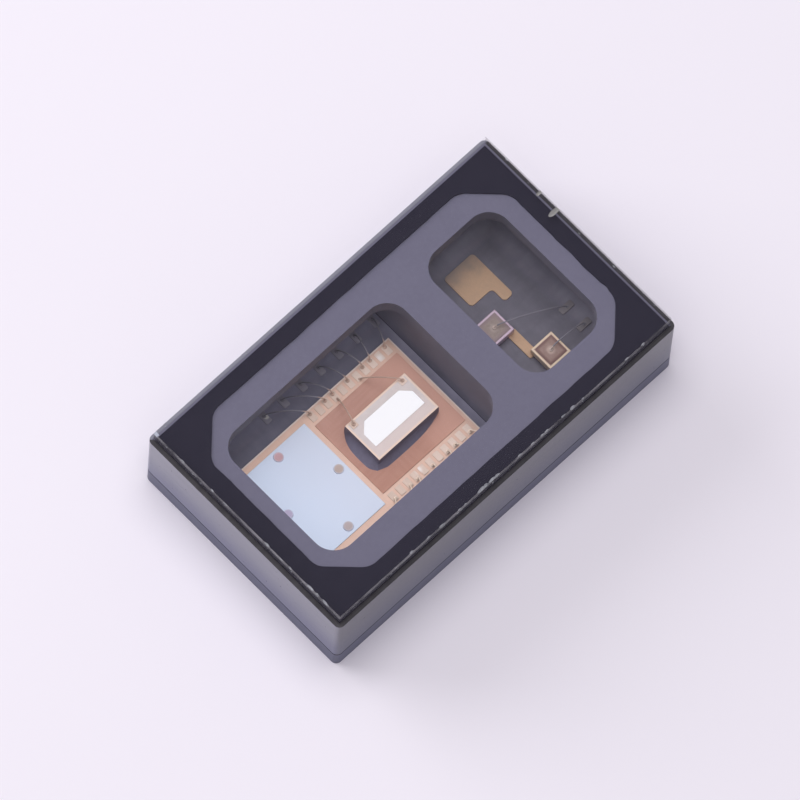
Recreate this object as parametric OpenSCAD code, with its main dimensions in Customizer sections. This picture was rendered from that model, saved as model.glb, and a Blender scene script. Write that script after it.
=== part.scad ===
// Reflective pulse oximeter sensor chip. A laminate substrate carries an optical sensor die, a smaller
// die stacked on it and two emitter dies, under a moulded lid with two windows and a cover glass.
// Millimetres. Origin at the centre of the underside, +X towards the emitter end, +Z up.

/* [Package] */
// Length of the package along X
package_l = 5.6; // [5.2:0.1:6.4]
// Width of the package along Y
package_w = 3.3; // [3.0:0.1:4.0]
// Height from the solder lands to the top of the glass
package_h = 1.55; // [1.4:0.05:1.9]
// Radius of the package's upright corners
package_r = 0.08; // [0.04:0.01:0.1]

/* [Substrate] */
// Thickness of the laminate
substrate_t = 0.3; // [0.2:0.02:0.4]
// Thickness of the gold-plated copper on both faces
copper_t = 0.02; // [0.01:0.005:0.03]
// Pitch of the solder lands along each long side
land_pitch = 0.8; // [0.65:0.05:1.0]
// Width of a solder land along X
land_w = 0.45; // [0.3:0.05:0.55]
// Length of a solder land along Y
land_l = 0.7; // [0.4:0.05:0.9]
// Bare laminate between a solder land and the package edge
land_edge_gap = 0.12; // [0.05:0.01:0.2]

/* [Lid] */
// Thickness of the outer walls
lid_wall = 0.25; // [0.2:0.01:0.32]
// Thickness of the roof that the windows pierce
lid_roof = 0.25; // [0.15:0.01:0.35]
// Glue line between the lid and the substrate
lid_bond_t = 0.02; // [0.01:0.005:0.04]
// Inset of the saw-cut rim and of the glass from the package sides
rim_inset = 0.055; // [0.03:0.005:0.08]
// Height of the saw-cut rim
rim_h = 0.03; // [0.02:0.005:0.05]
// Roof left between the sensor end and the sensor window
sensor_sill = 0.55; // [0.48:0.01:0.65]
// Roof left between the emitter end and the emitter window
emitter_sill = 0.54; // [0.5:0.01:0.65]
// Roof left along each long side
side_sill = 0.66; // [0.56:0.01:0.75]
// Length of the emitter window
emitter_window_l = 1.15; // [1.05:0.05:1.3]
// Width of the light barrier between the two windows
barrier_w = 0.54; // [0.4:0.02:0.6]
// Corner radius of the windows
window_r = 0.3; // [0.1:0.02:0.4]
// Corner radius of the hollows under the roof
cavity_r = 0.15; // [0.05:0.01:0.25]

/* [Cover glass] */
// Thickness of the glass
glass_t = 0.2; // [0.12:0.01:0.3]
// Thickness of the black adhesive under the glass
ring_t = 0.02; // [0.01:0.005:0.04]
// Width of the black adhesive ring
ring_w = 0.265; // [0.15:0.005:0.35]
// Inner corner radius of the adhesive ring
ring_r = 0.42; // [0.2:0.02:0.6]
// Radius of the chip broken from the glass corner
corner_chip_r = 0.07; // [0.05:0.01:0.14]
// Radius of the two chips on the emitter-end edge of the glass
edge_chip_r = 0.04; // [0.03:0.01:0.08]

/* [Sensor die] */
// Thickness of the silicon
sensor_die_t = 0.19; // [0.12:0.01:0.25]
// Glue line under every die
attach_t = 0.02; // [0.01:0.005:0.03]
// Thickness of the coatings and metal pads on the dies
film_t = 0.01; // [0.006:0.002:0.016]
// Gap between the sensor die and the end wall of the lid
die_wall_gap = 0.365; // [0.25:0.005:0.45]
// Gap between the sensor die and the light barrier
die_barrier_gap = 0.16; // [0.08:0.01:0.2]
// Length of the photodiode coating
photodiode_l = 1.04; // [0.9:0.02:1.15]
// Bare silicon between the photodiode and the die's end
photodiode_end_margin = 0.06; // [0.03:0.01:0.1]
// Bare silicon between the photodiode and the die's long sides
photodiode_side_margin = 0.1; // [0.05:0.01:0.15]
// Radius of the round contacts on the photodiode
contact_r = 0.065; // [0.03:0.005:0.075]
// Distance of each round contact's centre from the photodiode's edge
contact_inset = 0.1; // [0.08:0.01:0.14]
// Gap between the photodiode and the circuit shield
field_gap = 0.07; // [0.04:0.01:0.1]
// Bare silicon between the circuit shield and the die's end
shield_end_margin = 0.06; // [0.03:0.01:0.1]
// Width of the band that each row of bond pads stands in
pad_band = 0.21; // [0.18:0.01:0.25]
// Size of a bond pad across its row
pad_w = 0.13; // [0.11:0.01:0.15]
// Gap between neighbouring bond pads
pad_gap = 0.04; // [0.02:0.005:0.06]

/* [Stacked die] */
// Length of the stacked die
stacked_die_l = 0.99; // [0.8:0.01:1.1]
// Width of the stacked die
stacked_die_w = 0.594; // [0.5:0.01:0.65]
// Thickness of the stacked die
stacked_die_t = 0.17; // [0.1:0.01:0.22]
// Offset of the stacked die from the middle of the circuit shield, towards the light barrier
stacked_offset = 0.02; // [0:0.005:0.06]
// How far the glue bulges out past the two sides that it was squeezed to
glue_bulge = 0.09; // [0.03:0.01:0.12]
// Border between the mirror metal and the stacked die's ends
mirror_end_margin = 0.09; // [0.06:0.01:0.12]
// Border between the mirror metal and the side with the bond pads
mirror_pad_margin = 0.115; // [0.1:0.005:0.14]
// Border between the mirror metal and the other long side
mirror_side_margin = 0.15; // [0.08:0.01:0.18]
// Cut corners of the mirror metal beside the bond pads
mirror_corner = 0.12; // [0.02:0.01:0.14]

/* [Emitters] */
// Side of a square emitter die
emitter_l = 0.345; // [0.3:0.005:0.42]
// Thickness of an emitter die
emitter_t = 0.12; // [0.08:0.01:0.18]
// Bright border around the contact on top of an emitter
emitter_border = 0.035; // [0.03:0.005:0.09]
// Distance from the light barrier to the infrared emitter's centre
infrared_x = 0.32; // [0.28:0.01:0.38]
// Offset of the infrared emitter from the centre line
infrared_y = 0.027; // [-0.05:0.01:0.06]
// Distance from the light barrier to the red emitter's centre
red_x = 0.62; // [0.58:0.005:0.7]
// Offset of the red emitter from the centre line
red_y = -0.64; // [-0.75:0.01:-0.55]
// How far an emitter overhangs the land under it
land_underlap = 0.02; // [0.005:0.005:0.03]
// Width of the track that links the two emitter lands
track_w = 0.13; // [0.08:0.01:0.16]
// How far the track runs into both emitter lands
track_lap = 0.03; // [0.01:0.01:0.06]
// Side of the square land that is left vacant
spare_land_l = 0.49; // [0.4:0.01:0.55]
// Distance from the light barrier to the vacant land
spare_land_x = 0.35; // [0.3:0.01:0.45]
// Offset of the vacant land from the centre line
spare_land_y = 0.44; // [0.42:0.01:0.55]
// Width of the vacant land's stub track
stub_w = 0.15; // [0.1:0.01:0.2]
// Length of the vacant land's stub track
stub_l = 0.22; // [0.15:0.01:0.28]

/* [Bonding] */
// Width of a bond finger on the substrate
finger_w = 0.09; // [0.06:0.01:0.12]
// Length of a bond finger on the substrate
finger_l = 0.2; // [0.14:0.01:0.24]
// Pitch of the bond fingers beside the sensor die
finger_pitch = 0.3; // [0.2:0.01:0.32]
// Gap between a bond finger and the lid's wall
finger_wall_gap = 0.16; // [0.08:0.01:0.2]
// Gap between a bond finger and the sensor die
finger_die_gap = 0.24; // [0.18:0.01:0.3]
// Diameter of the bond wires
wire_d = 0.016; // [0.014:0.001:0.025]
// Diameter of the ball that starts each wire
ball_d = 0.05; // [0.04:0.002:0.06]
// Height of the ball that starts each wire
ball_h = 0.02; // [0.01:0.002:0.03]
// Rise of the wires from the sensor die to the fingers
sensor_wire_rise = 0.15; // [0.12:0.01:0.25]
// Rise of the wires from the stacked die to the sensor die
link_wire_rise = 0.08; // [0.06:0.01:0.15]
// Rise of the wires from the emitters
emitter_wire_rise = 0.12; // [0.1:0.01:0.2]

/* [Hidden] */

$fn = 48;
// How far a cutting shape runs past the faces it cuts
overcut = 0.01;

// Levels of the stack, from the bottom up
copper_top = substrate_t + copper_t;
lid_bottom = substrate_t + lid_bond_t;
glass_bottom = package_h - glass_t;
lid_top = glass_bottom - ring_t;
rim_bottom = lid_top - rim_h;
roof_bottom = lid_top - lid_roof;
sensor_die_bottom = substrate_t + attach_t;
sensor_die_top = sensor_die_bottom + sensor_die_t;
film_top = sensor_die_top + film_t;
stacked_die_bottom = film_top + attach_t;
stacked_die_top = stacked_die_bottom + stacked_die_t;
emitter_bottom = copper_top + attach_t;
emitter_top = emitter_bottom + emitter_t;

// Windows in the roof and hollows under it, from the package ends inwards
emitter_window_x1 = package_l / 2 - emitter_sill;
emitter_window_x0 = emitter_window_x1 - emitter_window_l;
barrier_x0 = emitter_window_x0 - barrier_w;
sensor_window_x0 = -package_l / 2 + sensor_sill;
window_w = package_w - 2 * side_sill;
cavity_x0 = -package_l / 2 + lid_wall;
cavity_x1 = package_l / 2 - lid_wall;
cavity_w = package_w - 2 * lid_wall;
glass_l = package_l - 2 * rim_inset;
glass_w = package_w - 2 * rim_inset;

// Sensor die and the fields on it
die_x0 = cavity_x0 + die_wall_gap;
die_x1 = barrier_x0 - die_barrier_gap;
die_w = cavity_w - 2 * (finger_wall_gap + finger_l + finger_die_gap);
photodiode_x0 = die_x0 + photodiode_end_margin;
photodiode_x1 = photodiode_x0 + photodiode_l;
photodiode_w = die_w - 2 * photodiode_side_margin;
shield_x0 = photodiode_x1 + field_gap;
shield_x1 = die_x1 - shield_end_margin;
shield_w = die_w - 2 * pad_band;

// Bond pads: the balls sit on the outer half of a pad, the stacked die's wires land on the inner half
pads_per_row = 11;
pad_pitch = (shield_x1 - shield_x0) / pads_per_row;
pad_y = (die_w - pad_band) / 2;
ball_y = pad_y + pad_w / 2 - ball_d / 2;
stitch_y = pad_y - pad_w / 2 + wire_d;
// Pads that the stacked die's two wires land on
link_pads = [3, 6];
function pad_x(i) = shield_x0 + (i + 0.5) * pad_pitch;

// Bond fingers, one for each solder land on a side
lands_per_side = floor((package_l - 2 * land_edge_gap - land_w) / land_pitch) + 1;
finger_y = cavity_w / 2 - finger_wall_gap - finger_l / 2;
last_finger_x = barrier_x0 - finger_w;
function finger_x(i) = last_finger_x - (lands_per_side - 1 - i) * finger_pitch;
function finger_pad(i) = round(i * (pads_per_row - 1) / (lands_per_side - 1));

// Stacked die and its two bond pads
stacked_x = (shield_x0 + shield_x1) / 2 + stacked_offset;
stacked_pad_l = mirror_end_margin;
stacked_pad_x = stacked_die_l / 2 - mirror_end_margin;
stacked_pad_w = mirror_pad_margin - 2 * film_t;
stacked_pad_y = stacked_die_w / 2 - mirror_pad_margin / 2;

// Emitter lands
infrared = [emitter_window_x0 + infrared_x, infrared_y];
red = [emitter_window_x0 + red_x, red_y];
emitter_land_l = emitter_l - 2 * land_underlap;
track_x = (infrared.x + red.x) / 2;
track_l = infrared.y - red.y - emitter_land_l + 2 * track_lap;
spare_land_x1 = emitter_window_x0 + spare_land_x + spare_land_l;
// Bond fingers along the emitter end, the red emitter's first
function emitter_bond(i) = [cavity_x1 - finger_wall_gap - finger_l / 2, red_y + i * finger_pitch];

// Places of the chips along the emitter-end edge of the glass
edge_chip_y = [0.35, 0.63];

// Colours
laminate_black = [0.09, 0.09, 0.13];
gold = [0.83, 0.66, 0.42];
lid_black = [0.17, 0.17, 0.2];
glue_black = [0.04, 0.04, 0.05];
glass_clear = [0.8, 0.86, 0.92, 0.35];
silicon_tan = [0.85, 0.72, 0.62];
filter_blue = [0.78, 0.83, 0.92];
shield_brown = [0.68, 0.48, 0.42];
mirror_white = [0.96, 0.96, 0.98];
epoxy_navy = [0.13, 0.12, 0.19];
infrared_pink = [0.86, 0.68, 0.82];
red_yellow = [0.93, 0.82, 0.6];
contact_brown = [0.62, 0.44, 0.42];

// Building blocks

// Flat field between two places along X, centred on the X axis
module field(x0, x1, w) {
    translate([x0, -w / 2]) square([x1 - x0, w]);
}

// The same field with round corners
module round_field(x0, x1, w, r) {
    field(x0 + r, x1 - r, w);
    field(x0, x1, w - 2 * r);
    for (x = [x0 + r, x1 - r], y = [-1, 1]) {
        translate([x, y * (w / 2 - r)]) circle(r);
    }
}

// A flat shape given its thickness between two levels
module layer(z0, z1) {
    translate([0, 0, z0]) linear_extrude(z1 - z0) children();
}

module package_outline() {
    round_field(-package_l / 2, package_l / 2, package_w, package_r);
}

module glass_outline() {
    square([glass_l, glass_w], center = true);
}

// Hollows under the lid's roof, one on each side of the light barrier
module cavities() {
    round_field(cavity_x0, barrier_x0, cavity_w, cavity_r);
    round_field(emitter_window_x0, cavity_x1, cavity_w, cavity_r);
}

module windows() {
    round_field(sensor_window_x0, barrier_x0, window_w, window_r);
    round_field(emitter_window_x0, emitter_window_x1, window_w, window_r);
}

// Underside lands, the same shape that the substrate leaves open for them
module land_pattern() {
    first_x = -(lands_per_side - 1) * land_pitch / 2;
    row_y = package_w / 2 - land_edge_gap - land_l / 2;
    for (i = [0 : lands_per_side - 1], side = [-1, 1]) {
        translate([first_x + i * land_pitch, side * row_y]) square([land_w, land_l], center = true);
    }
}

module emitter_land(place) {
    translate(place) square(emitter_land_l, center = true);
}

// Half disc that bulges past a side of the given length, towards +X
module bulge(chord, rise) {
    r = (chord * chord / 4 + rise * rise) / (2 * rise);
    intersection() {
        translate([rise - r, 0]) circle(r, $fn = 96);
        translate([0, -chord / 2]) square([rise, chord]);
    }
}

// Bond wires: a ball on the first point, then a loop that leaves and lands upright
wire_sides = 8;
wire_steps = 10;

function loop_point(a, b, rise, t) =
    let (s = (1 - cos(180 * t)) / 2)
    [for (k = [0 : 2]) a[k] + (b[k] - a[k]) * s + (k == 2 ? rise * sin(180 * t) : 0)];

function loop_slope(a, b, rise, t) =
    let (span = norm([b.x - a.x, b.y - a.y]), run = span * sin(180 * t))
    atan2((b.z - a.z) * sin(180 * t) + 2 * rise * cos(180 * t), run);

function wire_ring(p, heading, slope, r) =
    [for (k = [0 : wire_sides - 1])
        let (turn = 360 * k / wire_sides, across = r * cos(turn), over = r * sin(turn))
        p + across * [-sin(heading), cos(heading), 0]
          + over * [-sin(slope) * cos(heading), -sin(slope) * sin(heading), cos(slope)]];

module bond_wire(a, b, rise) {
    heading = atan2(b.y - a.y, b.x - a.x);
    top = a + [0, 0, ball_h];
    rings = concat(
        [wire_ring(a, heading, 90, ball_d / 2), wire_ring(top, heading, 90, ball_d / 2)],
        [for (i = [0 : wire_steps])
            let (t = i / wire_steps)
            wire_ring(loop_point(top, b, rise, t), heading, loop_slope(top, b, rise, t), wire_d / 2)]
    );
    n = wire_sides;
    last = len(rings) - 1;
    sides = [
        for (i = [0 : last - 1], k = [0 : n - 1])
            let (j = i * n, m = (k + 1) % n)
            each [[j + k, j + n + k, j + n + m], [j + k, j + n + m, j + m]]
    ];
    caps = [[for (k = [0 : n - 1]) k], [for (k = [n - 1 : -1 : 0]) last * n + k]];
    polyhedron(points = [for (ring = rings) each ring], faces = concat(sides, caps));
}

// Substrate and its copper

module substrate() {
    color(laminate_black) difference() {
        layer(0, substrate_t) package_outline();
        layer(-overcut, copper_t) land_pattern();
    }
}

module solder_lands() {
    color(gold) layer(0, copper_t) land_pattern();
}

module sensor_bond_fingers() {
    color(gold) layer(substrate_t, copper_top) {
        for (i = [0 : lands_per_side - 1], side = [-1, 1]) {
            translate([finger_x(i), side * finger_y]) square([finger_w, finger_l], center = true);
        }
    }
}

module emitter_common_land() {
    color(gold) layer(substrate_t, copper_top) {
        emitter_land(infrared);
        emitter_land(red);
        translate([track_x, (infrared.y + red.y) / 2]) square([track_w, track_l], center = true);
    }
}

module emitter_spare_land() {
    color(gold) layer(substrate_t, copper_top) {
        translate([spare_land_x1 - spare_land_l, spare_land_y]) square(spare_land_l);
        translate([spare_land_x1 - stub_w, spare_land_y - stub_l]) square([stub_w, stub_l + stub_w]);
    }
}

module emitter_bond_fingers() {
    color(gold) layer(substrate_t, copper_top) {
        for (i = [0, 1]) {
            translate(emitter_bond(i)) square([finger_l, finger_w], center = true);
        }
    }
}

// Lid and glass

module lid_bond_line() {
    color(glue_black) layer(substrate_t, lid_bottom) difference() {
        package_outline();
        cavities();
    }
}

module lid() {
    color(lid_black) difference() {
        union() {
            layer(lid_bottom, rim_bottom) package_outline();
            layer(lid_bottom, lid_top) glass_outline();
        }
        layer(lid_bottom - overcut, roof_bottom) cavities();
        layer(roof_bottom - overcut, lid_top + overcut) windows();
    }
}

module glass_adhesive() {
    color(glue_black) layer(lid_top, glass_bottom) difference() {
        glass_outline();
        round_field(-glass_l / 2 + ring_w, glass_l / 2 - ring_w, glass_w - 2 * ring_w, ring_r);
    }
}

module cover_glass() {
    color(glass_clear) difference() {
        layer(glass_bottom, package_h) glass_outline();
        translate([-glass_l / 2, glass_w / 2, package_h]) sphere(corner_chip_r);
        for (y = edge_chip_y) {
            translate([glass_l / 2, y, package_h]) sphere(edge_chip_r);
        }
    }
}

// Sensor die

module sensor_die_attach() {
    color(epoxy_navy) layer(substrate_t, sensor_die_bottom) field(die_x0, die_x1, die_w);
}

module sensor_die() {
    color(silicon_tan) layer(sensor_die_bottom, sensor_die_top) field(die_x0, die_x1, die_w);
}

module photodiode_filter() {
    color(filter_blue) layer(sensor_die_top, film_top) field(photodiode_x0, photodiode_x1, photodiode_w);
}

module photodiode_contacts() {
    centre_x = (photodiode_x0 + photodiode_x1) / 2;
    reach_x = photodiode_l / 2 - contact_inset;
    reach_y = photodiode_w / 2 - contact_inset;
    color(contact_brown) layer(film_top, film_top + film_t) {
        for (side = [-1, 1]) {
            translate([centre_x + side * reach_x, 0]) circle(contact_r);
            translate([centre_x, side * reach_y]) circle(contact_r);
        }
    }
}

module circuit_shield() {
    color(shield_brown) layer(sensor_die_top, film_top) field(shield_x0, shield_x1, shield_w);
}

module sensor_bond_pads() {
    color(gold) layer(sensor_die_top, film_top) {
        for (i = [0 : pads_per_row - 1], side = [-1, 1]) {
            translate([pad_x(i), side * pad_y]) square([pad_pitch - pad_gap, pad_w], center = true);
        }
    }
}

// Stacked die

module stacked_die_attach() {
    color(epoxy_navy) layer(film_top, stacked_die_bottom) translate([stacked_x, 0]) {
        square([stacked_die_l, stacked_die_w], center = true);
        rotate(180) translate([stacked_die_l / 2, 0]) bulge(stacked_die_w, glue_bulge);
        rotate(-90) translate([stacked_die_w / 2, 0]) bulge(stacked_die_l, glue_bulge);
    }
}

module stacked_die() {
    color(silicon_tan) layer(stacked_die_bottom, stacked_die_top) {
        translate([stacked_x, 0]) square([stacked_die_l, stacked_die_w], center = true);
    }
}

module stacked_die_mirror() {
    end_x = stacked_die_l / 2 - mirror_end_margin;
    low_y = -stacked_die_w / 2 + mirror_side_margin;
    high_y = stacked_die_w / 2 - mirror_pad_margin;
    color(mirror_white) layer(stacked_die_top, stacked_die_top + film_t) translate([stacked_x, 0]) {
        polygon([
            [-end_x, low_y],
            [end_x, low_y],
            [end_x, high_y - mirror_corner],
            [end_x - mirror_corner, high_y],
            [-end_x + mirror_corner, high_y],
            [-end_x, high_y - mirror_corner]
        ]);
    }
}

module stacked_die_pads() {
    color(gold) layer(stacked_die_top, stacked_die_top + film_t) {
        for (side = [-1, 1]) {
            translate([stacked_x + side * stacked_pad_x, stacked_pad_y])
                square([stacked_pad_l, stacked_pad_w], center = true);
        }
    }
}

// Emitters

module emitter_attach(place) {
    color(epoxy_navy) layer(copper_top, emitter_bottom) emitter_land(place);
}

module emitter_die(place, shade) {
    color(shade) layer(emitter_bottom, emitter_top) translate(place) square(emitter_l, center = true);
}

module emitter_contact(place) {
    color(contact_brown) layer(emitter_top, emitter_top + film_t) {
        translate(place) square(emitter_l - 2 * emitter_border, center = true);
    }
}

module infrared_emitter_attach() { emitter_attach(infrared); }
module infrared_emitter_die() { emitter_die(infrared, infrared_pink); }
module infrared_emitter_contact() { emitter_contact(infrared); }
module red_emitter_attach() { emitter_attach(red); }
module red_emitter_die() { emitter_die(red, red_yellow); }
module red_emitter_contact() { emitter_contact(red); }

// Bond wires

module sensor_bond_wires() {
    color(gold) for (i = [0 : lands_per_side - 1], side = [-1, 1]) {
        bond_wire(
            [pad_x(finger_pad(i)), side * ball_y, film_top],
            [finger_x(i), side * finger_y, copper_top],
            sensor_wire_rise
        );
    }
}

module link_bond_wires() {
    color(gold) for (i = [0, 1]) {
        bond_wire(
            [stacked_x + (2 * i - 1) * stacked_pad_x, stacked_pad_y, stacked_die_top + film_t],
            [pad_x(link_pads[i]), stitch_y, film_top],
            link_wire_rise
        );
    }
}

module emitter_wire(place, bond) {
    color(gold) bond_wire(
        [place.x, place.y, emitter_top + film_t],
        [bond.x, bond.y, copper_top],
        emitter_wire_rise
    );
}

module infrared_emitter_wire() { emitter_wire(infrared, emitter_bond(1)); }
module red_emitter_wire() { emitter_wire(red, emitter_bond(0)); }

substrate();
solder_lands();
sensor_bond_fingers();
emitter_common_land();
emitter_spare_land();
emitter_bond_fingers();
lid_bond_line();
lid();
glass_adhesive();
cover_glass();
sensor_die_attach();
sensor_die();
photodiode_filter();
photodiode_contacts();
circuit_shield();
sensor_bond_pads();
stacked_die_attach();
stacked_die();
stacked_die_mirror();
stacked_die_pads();
infrared_emitter_attach();
infrared_emitter_die();
infrared_emitter_contact();
red_emitter_attach();
red_emitter_die();
red_emitter_contact();
sensor_bond_wires();
link_bond_wires();
infrared_emitter_wire();
red_emitter_wire();
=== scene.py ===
# Reflective pulse oximeter sensor chip: finishes, fine shapes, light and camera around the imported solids.

import math
import random

import bmesh
import bpy
from mathutils import Matrix, Vector, noise


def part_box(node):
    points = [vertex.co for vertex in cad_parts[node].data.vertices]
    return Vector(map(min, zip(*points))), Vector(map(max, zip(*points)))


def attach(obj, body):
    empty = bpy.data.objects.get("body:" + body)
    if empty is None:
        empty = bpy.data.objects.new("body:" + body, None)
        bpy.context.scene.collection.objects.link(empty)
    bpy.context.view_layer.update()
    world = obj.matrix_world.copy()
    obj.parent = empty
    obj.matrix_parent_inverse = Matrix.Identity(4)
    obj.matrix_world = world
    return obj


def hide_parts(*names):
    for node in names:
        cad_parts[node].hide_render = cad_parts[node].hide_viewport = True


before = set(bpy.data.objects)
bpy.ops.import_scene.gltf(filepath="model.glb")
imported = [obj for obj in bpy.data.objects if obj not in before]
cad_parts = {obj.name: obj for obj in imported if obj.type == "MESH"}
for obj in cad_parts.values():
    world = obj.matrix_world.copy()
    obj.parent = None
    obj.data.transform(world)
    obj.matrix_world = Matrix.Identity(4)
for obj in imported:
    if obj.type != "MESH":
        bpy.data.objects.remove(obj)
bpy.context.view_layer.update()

# Shapes are modelled in millimetres and scaled to metres when a piece is made
MM = 0.001
BODY = "root"


def box_mm(node):
    """Lowest and highest corner of a solid, in millimetres."""
    low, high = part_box(node)
    return low / MM, high / MM


# Places taken from the solids
package_high = box_mm("substrate")[1]
lid_low, lid_high = box_mm("lid")
ring_low, ring_high = box_mm("glass_adhesive")
glass_low, glass_high = box_mm("cover_glass")
die_low, die_high = box_mm("sensor_die")
coat_low, coat_high = box_mm("photodiode_filter")
dot_low, dot_high = box_mm("photodiode_contacts")
shield_low, shield_high = box_mm("circuit_shield")
pad_high = box_mm("sensor_bond_pads")[1]
finger_low, finger_high = box_mm("sensor_bond_fingers")
spare_high = box_mm("emitter_spare_land")[1]
glue_low = box_mm("stacked_die_attach")[0]
stack_low, stack_high = box_mm("stacked_die")
link_low, link_high = box_mm("stacked_die_pads")
end_low, end_high = box_mm("emitter_bond_fingers")
half_l = package_high.x
half_w = package_high.y

# How far a cutter reaches past what it cuts, and how near two places count as one
OVERCUT = 0.05
TOUCH = 0.0005

# Lid: both windows are shifted as the glass shifts them, and the reveal bares the emitters
PACKAGE_R = 0.08
LID_WALL = 0.25
LID_ROOF = 0.25
LID_EDGE = 0.006
RIM_INSET = 0.055
RIM_H = 0.03
SENSOR_SILL = 0.55
EMITTER_SILL = 0.54
SIDE_SILL = 0.66
EMITTER_WINDOW_L = 1.15
BARRIER_W = 0.54
WINDOW_R = 0.3
WINDOW_SHIFT = 0.018
EMITTER_REVEAL = Vector((0.045, 0.04))
CAVITY_R = 0.15
roof_bottom = lid_high.z - LID_ROOF
rim_bottom = lid_high.z - RIM_H
emitter_window_x1 = half_l - EMITTER_SILL
emitter_window_x0 = emitter_window_x1 - EMITTER_WINDOW_L
sensor_window_x1 = emitter_window_x0 - BARRIER_W

# Adhesive ring: inner corners cut off, held back from the far edges and pressed a hair into the glass
RING_W = Vector((0.265, 0.245, 0))
RING_CUT = 0.45
RING_ROUND = 0.1
RING_SINK = 0.002
RING_SHIFT = Vector((0.028, 0.007, 0))
RING_BACK = Vector((0.03, 0.03, -RING_SINK))

# The ring's inner edge wavers along its long sides, by waves of a rate and a share, and has one nick
RING_WAVER = 0.012
RING_WAVES = ((4.0, 0.7), (15.0, 0.3))
RING_LONG_SIDE = 1
RING_SIDE_CUTS = 60
RING_NICK = Vector((2.48, -0.71, 0))
RING_NICK_R = 0.08
RING_NICK_DEPTH = 0.03

# Cover glass: haze on its face, the share of its sides that is clear, and which way its faces look
GLASS_EDGE = 0.004
GLASS_HAZE = 0.010
NEAR_CLEAR = 0.4
FAR_SIDE_CLEAR = 0.93
FAR_END_CLEAR = 0.6
LEVEL_FACE = 0.9
FAR_FACE = 0.1

# Chips along the edges of the glass, by their place on the edge and their radius
SIDE_CHIPS = [(-1.56, 0.034), (-1.28, 0.022), (-1.06, 0.034), (-0.77, 0.02), (-0.67, 0.02), (-0.4, 0.046),
              (-0.34, 0.04), (-0.23, 0.044), (-0.15, 0.036), (0.23, 0.02), (0.44, 0.022), (0.6, 0.024),
              (0.68, 0.026), (0.95, 0.03), (1.1, 0.042), (1.27, 0.02), (2.0, 0.02), (2.27, 0.018)]
END_CHIPS = [(1.1, 0.022), (0.593, 0.025), (0.37, 0.02), (-0.34, 0.032), (-0.587, 0.02), (-0.74, 0.024),
             (-1.08, 0.036), (-1.2, 0.03), (-1.34, 0.036)]
FAR_CHIPS = [(0.34, 0.105), (0.633, 0.06)]
FAR_CHIP_SHAPE = (1.0, 0.35, 0.3)
CORNER_CHIP_R = 0.06

# Ranges for the chips' random forms: shares of a radius, and depths under the top edge
CHIP_SEED = 7
CHIP_LENGTH = (1.0, 1.8)
CHIP_WIDTH = (0.45, 0.75)
CHIP_DEPTH = (0.6, 1.0)
CHIP_LUMPS = (-0.22, 0.12)
CHIP_DROP = (0.0, 0.03)

# The smallest chips lie anywhere along the edges
SMALL_CHIPS = 46
SMALL_CHIP_R = (0.006, 0.014)
SMALL_CHIP_DROP = (0.0, 0.16)
SMALL_CHIP_MARGIN = 0.1
SMALL_CHIPS_ON_SIDES = 0.6

# Sensor die
CONTACT_R = 0.065
CONTACT_TAPER = 0.92
CONTACT_RIM = 0.2
CONTACT_DISH = 0.1
PADS_PER_ROW = 11
PAD_W = 0.13
# Places of two painted highlights on the bond pads
PAD_HIGHLIGHTS = [Vector((0.148, 0.681)), Vector((-0.501, -0.662))]

# Glue squeezed out past two sides of the stacked die
FILLET_REACH = Vector((0.118, 0.088))
FILLET_H = 0.13
FILLET_SKIN = 0.002
FILLET_SKEW = 0.35
FILLET_ROUND = 0.095
FILLET_CUTS = 28

# Eased edges and rounded corners of the pieces that keep their solid's form
SUBSTRATE_EDGE = 0.003
LAND_EDGE = 0.004
LAND_CORNER = 0.02
SPARE_LAND_CORNER = 0.05
DIE_EDGE = 0.004
FILM_EDGE = 0.002
PAD_EDGE = 0.003
PAD_CORNER = 0.012
CONTACT_EDGE = 0.003
CONTACT_CORNER = 0.02
MESA_CHAMFER = 0.01
MESA_CORNER = 0.006

# Bond wires, with a flattened ball at the start and a pressed stitch at the end
WIRE_R = 0.008
WIRE_STEPS = 18
BALL_R = 0.025
BALL_H = 0.02
BALL_FLATNESS = 0.6
STITCH_R = 0.7 * BALL_R
STITCH_SHAPE = (1.5, 1.0, 0.25)
FINGERS_PER_ROW = 7
FINGER_W = 0.09
FINGER_L = 0.2
LINK_PADS = (3, 6)
LINK_PAD_L = 0.09
SENSOR_WIRE_RISE = 0.15
LINK_WIRE_RISE = 0.08
EMITTER_WIRE_RISE = 0.12
# Place of a painted highlight on one stitch
STITCH_HIGHLIGHT = Vector((-1.3, 1.12))

# How finely curves are divided, and when points count as one and edges as upright, flat, sharp or to be eased
CORNER_STEPS = 14
PACKAGE_STEPS = 8
RING_STEPS = 6
SMALL_CORNER_STEPS = 5
EASE_STEPS = 2
CONTACT_SIDES = 40
WIRE_ROUNDNESS = 8
BALL_FACETS = {"u_segments": 20, "v_segments": 12}
MERGE_DISTANCE = 1e-5
UPRIGHT_SHARE = 0.9
FLAT_ANGLE = math.radians(0.5)
SHARP_ANGLE = math.radians(20)
EASED_ANGLE = math.radians(35)

# Camera, fitted to the photograph's frame of 800 x 800 pixels; its near clip is in metres
VIEW_AZIMUTH = math.radians(-49.357)
VIEW_ELEVATION = math.radians(70.0)
VIEW_ROLL = math.radians(5.693)
VIEW_DISTANCE = 200.0
VIEW_TARGET = Vector((-0.0943, 0.0857, 0.7))
FRAME_PIXELS = 800
FOCAL_PIXELS = 16745.4
FILM_MM = 36.0
NEAR_CLIP = 0.01

# Light: the surround's level for matt surfaces, and for what shows or mirrors it
AMBIENT = 0.31
SHOWN = 1.0
SURROUND_COLOUR = (0.965, 0.95, 1.0)

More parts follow.
